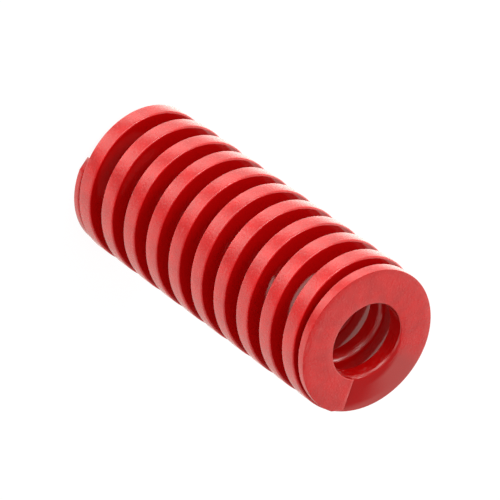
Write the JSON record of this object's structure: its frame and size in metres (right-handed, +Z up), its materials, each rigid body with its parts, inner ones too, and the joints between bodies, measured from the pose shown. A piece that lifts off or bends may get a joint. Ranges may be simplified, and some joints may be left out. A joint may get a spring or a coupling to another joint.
{
  "type": "die spring",
  "caption": "Medium-load die spring of rectangular wire, coiled right-handed, with closed and ground ends, painted red.",
  "frame": {"origin": "centre of the lower ground end, on the plane the spring stands on", "axes": "+Z up along the spring's axis to the other ground end; +X passes through the tip of the wire at the lower end"},
  "size_m": [0.0248, 0.0248, 0.06],
  "materials": {
    "red_paint": "satin red coating over spring steel"
  },
  "bodies": {
    "root": {"spring": "red_paint"}
  },
  "joints": []
}
